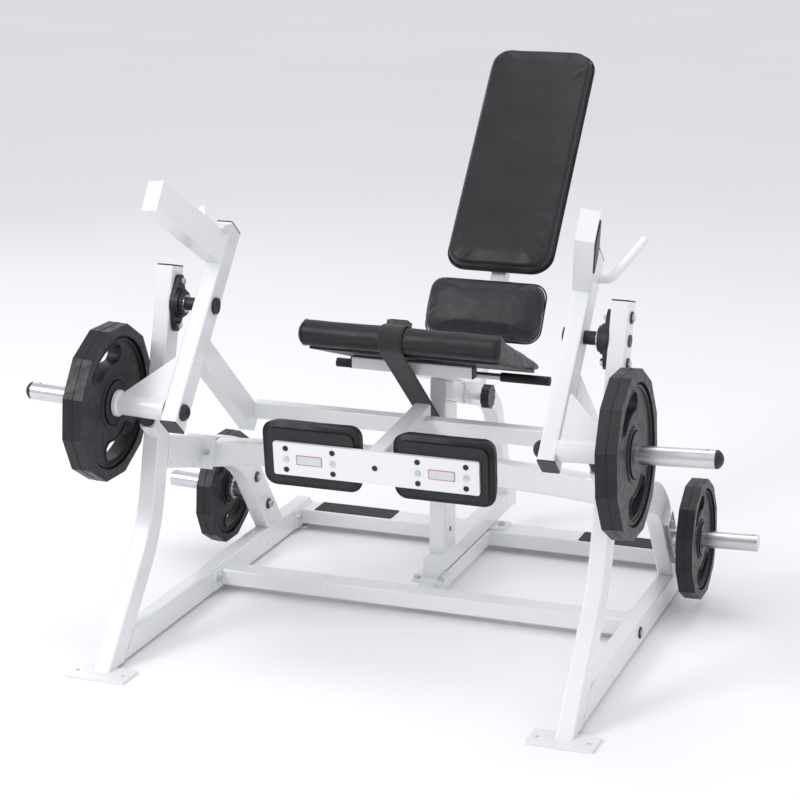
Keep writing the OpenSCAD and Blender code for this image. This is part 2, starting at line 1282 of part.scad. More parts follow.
module on_store() {
  translate([xo + 8, 938, 226])
    rotate([0, -2, 0])
      translate([44.2, 0, 0])
        children();
}

module weight_plate_left() {
  color(black)
    mirror(mir)
      centred()
        on_horn()
          plate(plate_d, plate_t);
}

module weight_plate_right() {
  color(black)
    centred()
      on_horn()
        plate(plate_d, plate_t);
}

module stored_plate_left() {
  color(black)
    mirror(mir)
      centred()
        on_store()
          plate(store_d, store_t);
}

module stored_plate_right() {
  color(black)
    centred()
      on_store()
        plate(store_d, store_t);
}

module weight_core_left() {
  color(steel)
    mirror(mir)
      centred()
        on_horn()
          core(plate_d, plate_t);
}

module weight_core_right() {
  color(steel)
    centred()
      on_horn()
        core(plate_d, plate_t);
}

module stored_core_left() {
  color(steel)
    mirror(mir)
      centred()
        on_store()
          core(store_d, store_t);
}

module stored_core_right() {
  color(steel)
    centred()
      on_store()
        core(store_d, store_t);
}

// ---------- output ----------

post_left();
post_right();
post_caps();
foot_plates();
base_rails();
rear_arch_left();
rear_arch_right();
front_crossbar();
rear_crossbar();
grip_treads();
spine_tube();
cross_beam();
seat_base();
seat_column();
seat_rail();
seat_bracket();
seat_board();
seat_pad();
lap_belt();
belt_buckle();
grip_bar();
grip_sleeves();
storage_horn_left();
storage_horn_right();
rest_bumpers();
bearing_housings();
bearing_inserts();
frame_bolts();
black_washers();
arm_left();
arm_right();
arm_caps();
counterweights();
start_handles();
pivot_shafts();
horn_sleeves();
loading_horns();
horn_caps();
diagonal_tubes();
swing_crossbeam();
centre_tube();
ankle_plate();
ankle_bolts();
ankle_boards();
ankle_pad_left();
ankle_pad_right();
back_carriage();
back_tube();
pad_boards();
lumbar_pad();
back_pad();
star_knob();
weight_plate_left();
weight_plate_right();
stored_plate_left();
stored_plate_right();
weight_core_left();
weight_core_right();
stored_core_left();
stored_core_right();
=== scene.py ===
import json
import math

import bmesh
import bpy
from mathutils import Matrix, Vector, noise


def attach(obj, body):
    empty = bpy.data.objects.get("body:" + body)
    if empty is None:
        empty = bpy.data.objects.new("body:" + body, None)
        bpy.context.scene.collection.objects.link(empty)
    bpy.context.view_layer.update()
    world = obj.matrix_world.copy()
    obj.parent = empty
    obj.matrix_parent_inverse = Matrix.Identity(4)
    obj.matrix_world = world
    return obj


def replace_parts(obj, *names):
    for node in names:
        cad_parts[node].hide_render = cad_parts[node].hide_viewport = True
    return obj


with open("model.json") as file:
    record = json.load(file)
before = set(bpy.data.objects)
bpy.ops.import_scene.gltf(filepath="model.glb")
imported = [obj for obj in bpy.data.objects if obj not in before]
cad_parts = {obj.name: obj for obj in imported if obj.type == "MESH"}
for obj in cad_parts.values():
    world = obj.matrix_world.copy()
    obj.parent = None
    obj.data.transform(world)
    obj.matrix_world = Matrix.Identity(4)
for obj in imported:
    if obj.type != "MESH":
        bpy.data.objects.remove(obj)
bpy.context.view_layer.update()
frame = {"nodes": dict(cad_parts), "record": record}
nodes = frame["nodes"]
# the frame's y = 0, in the CAD's own millimetres
Y_MID = 833.7
SIDES = (("right", 1), ("left", -1))


# ---------- placing helpers, from the CAD's own frames ----------

def shift(x, y, z):
    return Matrix.Translation((x, y, z))


def turn(deg, axis):
    return Matrix.Rotation(math.radians(deg), 4, axis)


def at(x, y, z, ang):
    """Frame in the CAD's millimetres, local +Y at ang degrees above horizontal."""
    return shift(x / 1000, (y - Y_MID) / 1000, z / 1000) @ turn(ang, "X")


# own frames of the swing arms, the ankle plate, the two back pads and the seat
KNEE = at(0, 318, 966, 50.65)
ANKLE = at(0, 236, 563, 7.5)
BACK = at(0, 1326.7, 938.9, 51)
LUMBAR = at(0, 1196.5, 831, 60)
SEAT = at(0, 454.6, 918.2, -22.03)
MIRROR = Matrix.Scale(-1, 4, (1, 0, 0))


def side_frame(root, tilt, s):
    """Local +X outward along a horn from its root, on the side that s says."""
    m = at(*root, 0) @ turn(-tilt, "Y")
    return (MIRROR @ m) if s < 0 else m


def new_object(name, bm, matrix=None, smooth=True):
    if matrix is not None:
        bm.transform(matrix)
        if matrix.determinant() < 0:
            bmesh.ops.reverse_faces(bm, faces=bm.faces)
    me = bpy.data.meshes.new(name)
    bm.to_mesh(me)
    bm.free()
    for p in me.polygons:
        p.use_smooth = smooth
    o = bpy.data.objects.new(name, me)
    bpy.context.scene.collection.objects.link(o)
    return o


def by_angle(o, deg):
    o.data.set_sharp_from_angle(angle=math.radians(deg))


def dress(o, mat):
    o.data.materials.clear()
    o.data.materials.append(mat)


# ---------- materials ----------

class Mat:
    """A node-based material: principled shader, ramps on noise or other textures, bump in layers."""

    def __init__(self, name, rough, metallic=0.0, **more):
        self.m = bpy.data.materials.new(name)
        self.m.use_nodes = True
        self.t = self.m.node_tree
        self.b = self.t.nodes["Principled BSDF"]
        self.b.inputs["Roughness"].default_value = rough
        self.b.inputs["Metallic"].default_value = metallic
        for k, v in more.items():
            self.b.inputs[k.replace("_", " ")].default_value = v
        self.co = self.t.nodes.new("ShaderNodeTexCoord").outputs["Object"]
        self.normal = None

    def n(self, kind, **sets):
        node = self.t.nodes.new(kind)
        for k, v in sets.items():
            if hasattr(node, k):
                setattr(node, k, v)
            else:
                node.inputs[k].default_value = v
        return node

    def link(self, a, b):
        self.t.links.new(a, b)

    def mapped(self, scale):
        m = self.n("ShaderNodeMapping")
        m.inputs["Scale"].default_value = scale
        self.link(self.co, m.inputs["Vector"])
        return m.outputs[0]

    def noise(self, scale, detail=3, rough=0.5, vec=None):
        n = self.n("ShaderNodeTexNoise")
        n.inputs["Scale"].default_value = scale
        n.inputs["Detail"].default_value = detail
        n.inputs["Roughness"].default_value = rough
        self.link(vec or self.co, n.inputs["Vector"])
        return n.outputs["Fac"]

    def voronoi(self, scale):
        n = self.n("ShaderNodeTexVoronoi", feature="DISTANCE_TO_EDGE")
        n.inputs["Scale"].default_value = scale
        self.link(self.co, n.inputs["Vector"])
        return n.outputs["Distance"]

    def ramp(self, fac, stops):
        r = self.n("ShaderNodeValToRGB")
        e = r.color_ramp.elements
        while len(e) < len(stops):
            e.new(0.5)
        for el, (p, c) in zip(e, stops):
            el.position = p
            el.color = (*c, 1)
        self.link(fac, r.inputs[0])
        return r.outputs[0]

    def grey(self, fac, lo, hi):
        return self.ramp(fac, [(0.3, (lo, lo, lo)), (0.7, (hi, hi, hi))])

    def colour(self, out):
        self.link(out, self.b.inputs["Base Color"])

    def roughness(self, out):
        self.link(out, self.b.inputs["Roughness"])

    def bump(self, height, dist, strength=1.0):
        b = self.n("ShaderNodeBump")
        b.inputs["Strength"].default_value = strength
        b.inputs["Distance"].default_value = dist
        self.link(height, b.inputs["Height"])
        if self.normal:
            self.link(self.normal, b.inputs["Normal"])
        self.normal = b.outputs[0]
        self.link(self.normal, self.b.inputs["Normal"])


def white_paint():
    k = Mat("white powder coat", 0.26, Coat_Weight=0.35, Coat_Roughness=0.08)
    k.colour(k.ramp(k.noise(3.0, 4), [(0.3, (0.79, 0.797, 0.82)), (0.7, (0.80, 0.807, 0.828))]))
    k.roughness(k.grey(k.noise(9, 3), 0.27, 0.30))
    k.bump(k.noise(420, 2), 0.00022, 0.35)
    return k.m


def vinyl(name, base, lift, crease):
    k = Mat(name, 0.38, Specular_IOR_Level=0.36)
    k.colour(k.ramp(k.noise(7, 5), [(0.25, base), (0.75, lift)]))
    k.roughness(k.grey(k.noise(22, 4), 0.34, 0.47))
    k.bump(k.noise(crease, 4, 0.6), 0.004, 0.30)
    k.bump(k.voronoi(620), 0.0006, 0.40)
    k.bump(k.noise(1500, 2), 0.0003, 0.25)
    return k.m


def urethane():
    k = Mat("black urethane", 0.42, Specular_IOR_Level=0.36)
    k.colour(k.ramp(k.noise(16, 5), [(0.3, (0.007, 0.008, 0.010)), (0.75, (0.015, 0.0165, 0.019))]))
    k.roughness(k.grey(k.noise(40, 4), 0.34, 0.52))
    k.bump(k.noise(700, 3), 0.0004, 0.35)
    return k.m


def brushed(name, axis_scale):
    k = Mat(name, 0.24, 1.0, Anisotropic=0.3)
    v = k.mapped(axis_scale)
    k.colour(k.ramp(k.noise(1.0, 4, 0.6, v), [(0.3, (0.55, 0.55, 0.561)), (0.7, (0.75, 0.75, 0.77))]))
    k.roughness(k.grey(k.noise(1.0, 3, 0.6, v), 0.18, 0.36))
    k.bump(k.noise(1.0, 3, 0.6, v), 0.0002, 0.3)
    return k.m


def zinc():
    k = Mat("zinc plate", 0.28, 1.0)
    k.colour(k.ramp(k.noise(60, 4), [(0.3, (0.50, 0.51, 0.53)), (0.7, (0.72, 0.72, 0.74))]))
    k.roughness(k.grey(k.noise(120, 3), 0.2, 0.4))
    k.bump(k.noise(500, 2), 0.0002, 0.3)
    return k.m


def black_part(name, rough, spec, grain):
    k = Mat(name, rough, Specular_IOR_Level=spec)
    k.colour(k.ramp(k.noise(25, 4), [(0.3, (0.007, 0.0075, 0.009)), (0.7, (0.016, 0.017, 0.019))]))
    k.roughness(k.grey(k.noise(60, 3), rough - 0.07, rough + 0.1))
    k.bump(k.noise(grain, 3), 0.0005, 0.4)
    return k.m


def cast():
    k = Mat("black cast metal", 0.45, 0.6)
    k.colour(k.ramp(k.noise(30, 4), [(0.3, (0.02, 0.021, 0.024)), (0.7, (0.05, 0.052, 0.056))]))
    k.roughness(k.grey(k.noise(80, 3), 0.38, 0.58))
    k.bump(k.noise(300, 5), 0.0009, 0.5)
    return k.m


def iron():
    k = Mat("plain iron", 0.5, 0.9)
    k.colour(k.ramp(k.noise(30, 4), [(0.3, (0.12, 0.12, 0.125)), (0.7, (0.22, 0.22, 0.23))]))
    k.bump(k.noise(200, 4), 0.0008, 0.4)
    return k.m


def webbing():
    k = Mat("black webbing", 0.72, Sheen_Weight=0.25, Sheen_Roughness=0.4)
    w = k.n("ShaderNodeTexWave", wave_type="BANDS", bands_direction="X")
    w.inputs["Scale"].default_value = 160
    w.inputs["Distortion"].default_value = 0.4
    k.link(k.co, w.inputs["Vector"])
    v = k.n("ShaderNodeTexWave", wave_type="BANDS", bands_direction="Z")
    v.inputs["Scale"].default_value = 240
    k.link(k.co, v.inputs["Vector"])
    mix = k.n("ShaderNodeMath", operation="MULTIPLY")
    k.link(w.outputs["Fac"], mix.inputs[0])
    k.link(v.outputs["Fac"], mix.inputs[1])
    k.colour(k.ramp(mix.outputs[0], [(0.1, (0.010, 0.010, 0.012)), (0.9, (0.035, 0.036, 0.040))]))
    k.bump(mix.outputs[0], 0.0008, 0.7)
    return k.m


def plain_label(name, base):
    k = Mat(name, 0.42)
    k.colour(k.ramp(k.noise(30, 3), [(0.3, base), (0.7, tuple(c * 1.04 for c in base))]))
    k.bump(k.noise(500, 2), 0.0001, 0.2)
    return k.m


def tread():
    k = Mat("grip tread", 0.8)
    k.colour(k.ramp(k.noise(380, 3), [(0.35, (0.012, 0.012, 0.013)), (0.7, (0.06, 0.06, 0.062))]))
    k.bump(k.noise(650, 3), 0.0015, 0.8)
    return k.m


WHITE = white_paint()
VINYL = vinyl("charcoal vinyl", (0.008, 0.009, 0.0105), (0.015, 0.0165, 0.0185), 26)
VINYL_LIGHT = vinyl("charcoal vinyl lumbar", (0.013, 0.0145, 0.0165), (0.022, 0.024, 0.027), 40)
VINYL_SIDE = vinyl("charcoal vinyl seat", (0.008, 0.009, 0.0105), (0.016, 0.0175, 0.0195), 14)
URETHANE = urethane()
STEEL_X = brushed("brushed steel", (6, 900, 900))
ZINC = zinc()
PLASTIC = black_part("black plastic", 0.4, 0.5, 900)
BOARD = black_part("moulded board", 0.46, 0.45, 500)
GRIP = black_part("black grip rubber", 0.6, 0.4, 650)
CAST = cast()
IRON = iron()
WEB = webbing()
TREAD = tread()
LABEL = plain_label("blank label", (0.62, 0.63, 0.64))
LABEL_EDGE = plain_label("label border", (0.45, 0.16, 0.15))

LOOK = {"white_paint": WHITE, "black_plastic": PLASTIC, "black_board": BOARD, "vinyl": VINYL,
        "brushed": STEEL_X, "zinc_steel": ZINC, "rubber": GRIP, "black_steel": CAST, "iron": IRON,
        "webbing": WEB}
slots = {s["node"]: s["material_slot"] for s in frame["record"]["subparts"]}
for name, o in nodes.items():
    mat = LOOK[slots[name]]
    if "plate_left" in name or "plate_right" in name:
        mat = URETHANE
    if name == "grip_treads":
        mat = TREAD
    dress(o, mat)

# Edges softened on the CAD nodes, all but the cushions, the strap and the cores inside the plates.
EDGE, EDGE_SMALL, EDGE_PLATE = 0.0016, 0.0008, 0.0030
KEPT_SHARP = {"seat_pad", "lumbar_pad", "back_pad", "ankle_pad_left", "ankle_pad_right", "lap_belt",
              "weight_core_left", "weight_core_right", "stored_core_left", "stored_core_right"}
SMALL = {"frame_bolts", "ankle_bolts", "black_washers", "belt_buckle", "bearing_inserts",
         "grip_treads", "arm_caps", "post_caps", "rest_bumpers"}


def edge_width(name):
    """Width of the rounding that coating, casting or moulding leaves on a node's edges."""
    if "plate" in name and name not in ("ankle_plate", "foot_plates"):
        return EDGE_PLATE
    return EDGE_SMALL if name in SMALL else EDGE


for name, o in nodes.items():
    if name in KEPT_SHARP:
        continue
    b = o.modifiers.new("edge", "BEVEL")
    b.width = edge_width(name)
    b.segments = 2
    b.limit_method = "ANGLE"
    b.angle_limit = math.radians(50)
    b.use_clamp_overlap = True
    b.harden_normals = False
    for p in o.data.polygons:
        p.use_smooth = True
    by_angle(o, 32)


# ---------- shapes that repeat ----------

def outline(w, h, r, step):
    """Points of a rounded rectangle, at most about one step apart."""
    pts = []
    n = max(4, int(r * math.pi / 2 / step))
    for cx, cy, a0 in ((w / 2 - r, h / 2 - r, 0), (-w / 2 + r, h / 2 - r, 90),
                       (-w / 2 + r, -h / 2 + r, 180), (w / 2 - r, -h / 2 + r, 270)):
        for i in range(n + 1):
            a = math.radians(a0 + 90 * i / n)
            pts.append(Vector((cx + r * math.cos(a), cy + r * math.sin(a))))
    out = []
    for i, p in enumerate(pts):
        q = pts[(i + 1) % len(pts)]
        k = max(1, round((q - p).length / step))
        out += [p.lerp(q, j / k) for j in range(k)]
    return out


def bridge(bm, a, b):
    """Faces between two closed rows that have as many points as each other."""
    for i in range(len(a)):
        j = (i + 1) % len(a)
        bm.faces.new((a[i], a[j], b[j], b[i]))


def belongs(o, mat, body):
    """Give a finished piece its material and the body that carries it."""
    dress(o, mat)
    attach(o, body)


def subdivide(o):
    sub = o.modifiers.new("sub", "SUBSURF")
    sub.levels = 1
    sub.render_levels = 1


def tube_loop(name, pts, r, mat, body, sides=8, closed=True):
    """A round bead swept along points: piping, seams and mould lines."""
    bm = bmesh.new()
    n = len(pts)
    rows = []
    for i, p in enumerate(pts):
        a = pts[i - 1] if (closed or i) else p
        b = pts[(i + 1) % n] if (closed or i < n - 1) else p
        t = (b - a).normalized()
        ref = Vector((0, 0, 1)) if abs(t.z) < 0.9 else Vector((1, 0, 0))
        u = t.cross(ref).normalized()
        v = t.cross(u).normalized()
        rows.append([bm.verts.new(p + u * r * math.cos(2 * math.pi * j / sides)
                                  + v * r * math.sin(2 * math.pi * j / sides)) for j in range(sides)])
    for a, b in zip(rows, rows[1:]):
        bridge(bm, a, b)
    if closed:
        # the last row meets the first one at whichever point lies nearest
        last, first = rows[-1], rows[0]
        best = min(range(sides), key=lambda s: (last[0].co - first[s].co).length)
        bridge(bm, last, first[best:] + first[:best])
    else:
        bm.faces.new(list(reversed(rows[0])))
        bm.faces.new(rows[-1])
    bmesh.ops.recalc_face_normals(bm, faces=bm.faces)
    belongs(new_object(name, bm), mat, body)


# ---------- cushions ----------

PAD_STEP = 0.009


def pad_mesh(w, h, t, r, lip, crown, belly):
    """Upholstered pad in metres, inside w x h. Its z runs from -(t + crown) at the board to 0 at the
    middle of the face. The side swells by belly and the edge rolls over by lip."""
    side_rings, lip_rings, face_rings = 6, 6, 16
    profile = []
    for i in range(side_rings + 1):
        f = i / side_rings
        profile.append((-t + (t - lip) * f, belly * math.sin(math.pi * (0.15 + 0.85 * f)) - belly))
    for i in range(1, lip_rings + 1):
        a = math.pi / 2 * i / lip_rings
        profile.append((-lip + lip * math.sin(a), -belly - lip * (1 - math.cos(a))))
    bm = bmesh.new()
    ring = outline(w, h, r, PAD_STEP)
    rings = []
    for z, inset in profile:
        sx = (w / 2 + inset) / (w / 2)
        sy = (h / 2 + inset) / (h / 2)
        rings.append([bm.verts.new((p.x * sx, p.y * sy, z - crown)) for p in ring])
    # face: shrinking rings up to the middle, crowned
    rim = [Vector((v.co.x, v.co.y)) for v in rings[-1]]
    for i in range(1, face_rings):
        f = i / face_rings
        z = -crown + crown * (1 - (1 - f) ** 2.4)
        rings.append([bm.verts.new((p.x * (1 - f), p.y * (1 - f), z)) for p in rim])
    for a, b in zip(rings, rings[1:]):
        bridge(bm, a, b)
    mid = bm.verts.new((0, 0, 0))
    last = rings[-1]
    for i in range(len(last)):
        bm.faces.new((last[i], last[(i + 1) % len(last)], mid))
    bm.faces.new(list(reversed(rings[0])))
    bmesh.ops.recalc_face_normals(bm, faces=bm.faces)
    return bm


VOXEL = 0.006
PRESSURE = 4.0
FRAMES = 20


def simulate(o, cap, locked):
    """Cloth pressure on a remeshed copy, movement capped, result applied to the mesh."""
    remesh = o.modifiers.new("remesh", "REMESH")
    remesh.mode = "VOXEL"
    remesh.voxel_size = VOXEL
    bpy.context.view_layer.update()
    dg = bpy.context.evaluated_depsgraph_get()
    me = bpy.data.meshes.new_from_object(o.evaluated_get(dg))
    o.modifiers.clear()
    o.data = me
    start = [v.co.copy() for v in me.vertices]
    pins = o.vertex_groups.new(name="pin")
    c = o.modifiers.new("cloth", "CLOTH")
    s = c.settings
    if locked:
        pins.add([v.index for v in me.vertices if locked(v.co)], 1.0, "REPLACE")
        s.vertex_group_mass = "pin"
    s.quality = 5
    s.mass = 0.3
    s.use_pressure = True
    s.uniform_pressure_force = PRESSURE
    s.tension_stiffness = 18
    s.compression_stiffness = 18
    s.shear_stiffness = 6
    s.bending_stiffness = 1.2
    s.effector_weights.gravity = 0.0
    c.collision_settings.use_collision = False
    c.point_cache.frame_start = 1
    c.point_cache.frame_end = FRAMES
    sc = bpy.context.scene
    for f in range(1, FRAMES + 1):
        sc.frame_set(f)
    dg = bpy.context.evaluated_depsgraph_get()
    out = bpy.data.meshes.new_from_object(o.evaluated_get(dg))
    o.modifiers.clear()
    for v, p in zip(out.vertices, start):
        d = v.co - p
        if d.length > cap:
            v.co = p + d.normalized() * cap
    o.data = out
    sc.frame_set(1)


def wrinkle(o, amp, scale, mask=None):
    """Small folds from a fixed noise, pushed along the normals."""
    me = o.data
    normals = [v.normal.copy() for v in me.vertices]
    for v, n in zip(me.vertices, normals):
        k = 1.0 if mask is None else mask(v.co)
        p = Vector((v.co.x * scale[0], v.co.y * scale[1], v.co.z * scale[2]))
        v.co += n * amp * k * noise.fractal(p, 0.9, 2.0, 3, noise_basis="BLENDER")


def cushion(name, bm, matrix, mat, body, node_names, cap, folds, locked=None):
    o = new_object(name, bm)
    simulate(o, cap, locked)
    wrinkle(o, *folds)
    o.data.transform(matrix)
    for p in o.data.polygons:
        p.use_smooth = True
    subdivide(o)
    dress(o, mat)
    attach(o, body)
    if node_names:
        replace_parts(o, *node_names)


# back rest: its middle lies this far up the board
BACK_MID = 0.4090
bm = pad_mesh(w=0.350, h=0.822, t=0.048, r=0.064, lip=0.014, crown=0.005, belly=0.001)
cushion("back_cushion", bm, BACK @ shift(0, BACK_MID, -0.001), VINYL, "back_carriage_body", ["back_pad"],
        cap=0.005, folds=(0.0008, (9, 9, 9)), locked=lambda c: c.z < -0.046)
ring = [BACK @ Vector((p.x, p.y + BACK_MID, -0.0455)) for p in outline(0.353, 0.825, 0.066, 0.012)]
tube_loop("back_welt", ring, 0.0028, VINYL, "back_carriage_body")

# lumbar pad
bm = pad_mesh(w=0.374, h=0.190, t=0.058, r=0.044, lip=0.018, crown=0.007, belly=0.003)
cushion("lumbar_cushion", bm, LUMBAR @ shift(0, 0, -0.002), VINYL_LIGHT, "back_carriage_body",
        ["lumbar_pad"], cap=0.006, folds=(0.0010, (14, 14, 14)),
        locked=lambda c: c.z < -0.060)
ring = [LUMBAR @ Vector((p.x, p.y, -0.0575)) for p in outline(0.381, 0.196, 0.046, 0.010)]
tube_loop("lumbar_welt", ring, 0.0028, VINYL_LIGHT, "back_carriage_body")

# ankle pads: a face cushion over a slightly larger stepped base
ANKLE_X = 0.1965
for side, s in SIDES:
    face = ANKLE @ shift(s * ANKLE_X, 0.0, 0.005) @ turn(-90, "X")
    bm = pad_mesh(w=0.288, h=0.188, t=0.048, r=0.032, lip=0.018, crown=0.008, belly=0.003)
    cushion(f"ankle_cushion_{side}", bm, face @ shift(0, 0, 0.0815), VINYL, "swing_frame",
            [f"ankle_pad_{side}"], cap=0.006, folds=(0.0009, (16, 16, 16)),
            locked=lambda c: c.z < -0.050)
    bm = pad_mesh(w=0.296, h=0.196, t=0.020, r=0.036, lip=0.009, crown=0.001, belly=0.002)
    o = new_object(f"ankle_base_{side}", bm, face @ shift(0, 0, 0.0375))
    belongs(o, VINYL, "swing_frame")

# seat: a full-width roll in front of a wedge cushion
ROLL_R, ROLL_HALF, ROLL_EDGE = 0.0375, 0.303, 0.018
ROLL_Y, ROLL_Z = 440, 882
ROLL = at(0, ROLL_Y, ROLL_Z, 0)


def roll_mesh():
    """Round bar along x, its ends rounded by ROLL_EDGE."""
    sides, edge_steps, steps = 40, 6, 66
    bm = bmesh.new()
    xs = [-ROLL_HALF + ROLL_EDGE * (1 - math.cos(math.pi / 2 * i / edge_steps))
          for i in range(edge_steps + 1)]
    xs += [-ROLL_HALF + ROLL_EDGE + (2 * ROLL_HALF - 2 * ROLL_EDGE) * i / steps for i in range(1, steps)]
    xs += [-x for x in reversed(xs[:edge_steps + 1])]
    rows = []
    for x in xs:
        e = max(0.0, abs(x) - (ROLL_HALF - ROLL_EDGE)) / ROLL_EDGE
        r = ROLL_R - ROLL_EDGE * (1 - math.sqrt(max(0.0, 1 - e * e)))
        rows.append([bm.verts.new((x, r * math.cos(2 * math.pi * j / sides),
                                   r * math.sin(2 * math.pi * j / sides))) for j in range(sides)])
    for a, b in zip(rows, rows[1:]):
        bridge(bm, a, b)
    bm.faces.new(rows[0])
    bm.faces.new(list(reversed(rows[-1])))
    bmesh.ops.recalc_face_normals(bm, faces=bm.faces)
    return bm


cushion("seat_roll", roll_mesh(), ROLL, VINYL_SIDE, "frame", ["seat_pad"], cap=0.002,
        folds=(0.0012, (7, 26, 26)))

SEAT_HALF, SEAT_LEN, SEAT_EDGE = 0.300, 0.415, 0.016
SEAT_FRONT_T, SEAT_REAR_T = 0.074, 0.032


def seat_point(u, v, w):
    """u across -1..1, v front to rear 0..1, w bottom to top 0..1; edges rounded."""
    t = SEAT_FRONT_T + (SEAT_REAR_T - SEAT_FRONT_T) * v
    x = SEAT_HALF * u
    y = SEAT_LEN * v
    z = -t + t * w
    ex = max(0.0, abs(x) - (SEAT_HALF - SEAT_EDGE)) / SEAT_EDGE
    ey = max(0.0, y - (SEAT_LEN - SEAT_EDGE)) / SEAT_EDGE
    k = min(1.0, math.hypot(ex, ey))
    top = max(0.0, (w - 0.5) * 2)
    z -= SEAT_EDGE * (1 - math.sqrt(max(0.0, 1 - k * k))) * top
    if ex > 0 and w < 0.98:
        x -= math.copysign(0.004 * (1 - math.sin(math.pi * min(1, w + 0.1))), x)
    z += 0.004 * top * (1 - abs(u) ** 3) * math.sin(math.pi * min(1, max(0, v)))
    return Vector((x, y, z - 0.005 * top))


def wedge_mesh():
    """Closed skin of the wedge cushion, as a grid on each of its six sides."""
    nx, ny, nz = 44, 34, 7
    bm = bmesh.new()
    grid = {}

    def g(i, j, k):
        key = (i, j, k)
        if key not in grid:
            grid[key] = bm.verts.new(seat_point(-1 + 2 * i / nx, j / ny, k / nz))
        return grid[key]

    for i in range(nx):
        for j in range(ny):
            bm.faces.new((g(i, j, nz), g(i + 1, j, nz), g(i + 1, j + 1, nz), g(i, j + 1, nz)))
            bm.faces.new((g(i, j, 0), g(i, j + 1, 0), g(i + 1, j + 1, 0), g(i + 1, j, 0)))
    for i in range(nx):
        for k in range(nz):
            bm.faces.new((g(i, 0, k), g(i + 1, 0, k), g(i + 1, 0, k + 1), g(i, 0, k + 1)))
            bm.faces.new((g(i, ny, k), g(i, ny, k + 1), g(i + 1, ny, k + 1), g(i + 1, ny, k)))
    for j in range(ny):
        for k in range(nz):
            bm.faces.new((g(0, j, k), g(0, j, k + 1), g(0, j + 1, k + 1), g(0, j + 1, k)))
            bm.faces.new((g(nx, j, k), g(nx, j + 1, k), g(nx, j + 1, k + 1), g(nx, j, k + 1)))
    bmesh.ops.recalc_face_normals(bm, faces=bm.faces)
    return bm


def seat_folds(c):
    """Deep folds on the sides of the seat, shallow ones on its face."""
    return 1.0 if abs(c.x) > 0.27 else 0.35


def seat_locked(c):
    """The 6 mm next to the board, along the sloping bottom of the wedge."""
    return c.z < -SEAT_FRONT_T - (SEAT_REAR_T - SEAT_FRONT_T) * c.y / SEAT_LEN + 0.006


cushion("seat_cushion", wedge_mesh(), SEAT @ shift(0, 0.004, -0.001), VINYL_SIDE, "frame", [],
        cap=0.005, folds=(0.0030, (16, 9, 30), seat_folds), locked=seat_locked)

# folded corner where the seat cover is pulled round the front
for s, tag in ((1, "r"), (-1, "l")):
    pts = [SEAT @ Vector((s * (SEAT_HALF - 0.0008 * i), 0.012 + 0.0048 * i, -0.012 - 0.0034 * i
                          + 0.002 * math.sin(i * 0.8))) for i in range(14)]
    tube_loop(f"seat_fold_{tag}", pts, 0.0022, VINYL_SIDE, "frame", closed=False)

# sewn seams round the ends of the roll
SEAM_X, SEAM_R, SEAM_STEPS = 0.2895, 0.0382, 48
for tag, s in SIDES:
    pts = [ROLL @ Vector((s * SEAM_X, SEAM_R * math.cos(2 * math.pi * j / SEAM_STEPS),
                          SEAM_R * math.sin(2 * math.pi * j / SEAM_STEPS))) for j in range(SEAM_STEPS)]
    tube_loop(f"roll_seam_{tag}", pts, 0.0012, VINYL_SIDE, "frame", sides=6)


# ---------- lap belt: a flat strap with turned edges and stitch lines ----------

def side_view_normal(path, i):
    """Unit normal of a (y, z) path at its point i."""
    p, q = path[max(0, i - 1)], path[min(len(path) - 1, i + 1)]
    t = Vector((q[0] - p[0], q[1] - p[1])).normalized()
    return Vector((-t.y, t.x))


def strap(name, path, x0, x1, thick):
    """A flat strap of webbing through (y, z) points in CAD millimetres, from x0 to x1 across."""
    across = 12
    bm = bmesh.new()
    pts = [Vector(((y - Y_MID) / 1000, z / 1000)) for y, z in path]
    xs = [x0 + (x1 - x0) * k / across for k in range(across + 1)]
    rows = []
    for i, p in enumerate(pts):
        n = side_view_normal(pts, i)
        row = []
        for face, order in ((1, xs), (-1, xs[::-1])):
            for x in order:
                e = abs((x - (x0 + x1) / 2) / ((x1 - x0) / 2))
                h = thick / 2 * (1.0 if e < 0.8 else (1.12 if e < 0.99 else 0.55))
                q = p + n * h * face
                row.append(bm.verts.new((x, q.x, q.y)))
        rows.append(row)
    for a, b in zip(rows, rows[1:]):
        bridge(bm, a, b)
    bm.faces.new(list(reversed(rows[0])))
    bm.faces.new(rows[-1])
    bmesh.ops.recalc_face_normals(bm, faces=bm.faces)
    o = new_object(name, bm)
    subdivide(o)
    belongs(o, WEB, "frame")
    return o


# The strap's route in side view, (y, z) in CAD millimetres: forward over the seat, round the roll,
# then back and down under the seat.
BELT_START, BELT_ON_ROLL = (516, 897.5), (455.6, 921.2)
BELT_OFF_ROLL, BELT_END = (413.9, 849.3), (777.7, 560.4)
BELT_R, BELT_FROM, BELT_TO = 41.8, 68, 231.4
BELT_X0, BELT_X1 = -0.055, 0.017


def stretch(p, q, steps, first):
    """Even points of the straight line from p to q, from number first on."""
    fs = [i / steps for i in range(first, steps + 1)]
    return [(p[0] + (q[0] - p[0]) * f, p[1] + (q[1] - p[1]) * f) for f in fs]


belt = stretch(BELT_START, BELT_ON_ROLL, 8, 0)
for i in range(1, 27):
    a = math.radians(BELT_FROM + (BELT_TO - BELT_FROM) * i / 26)
    belt.append((ROLL_Y + BELT_R * math.cos(a), ROLL_Z + BELT_R * math.sin(a)))
belt += stretch(BELT_OFF_ROLL, BELT_END, 36, 1)
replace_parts(strap("belt_strap", belt, BELT_X0, BELT_X1, 0.0036), "lap_belt")

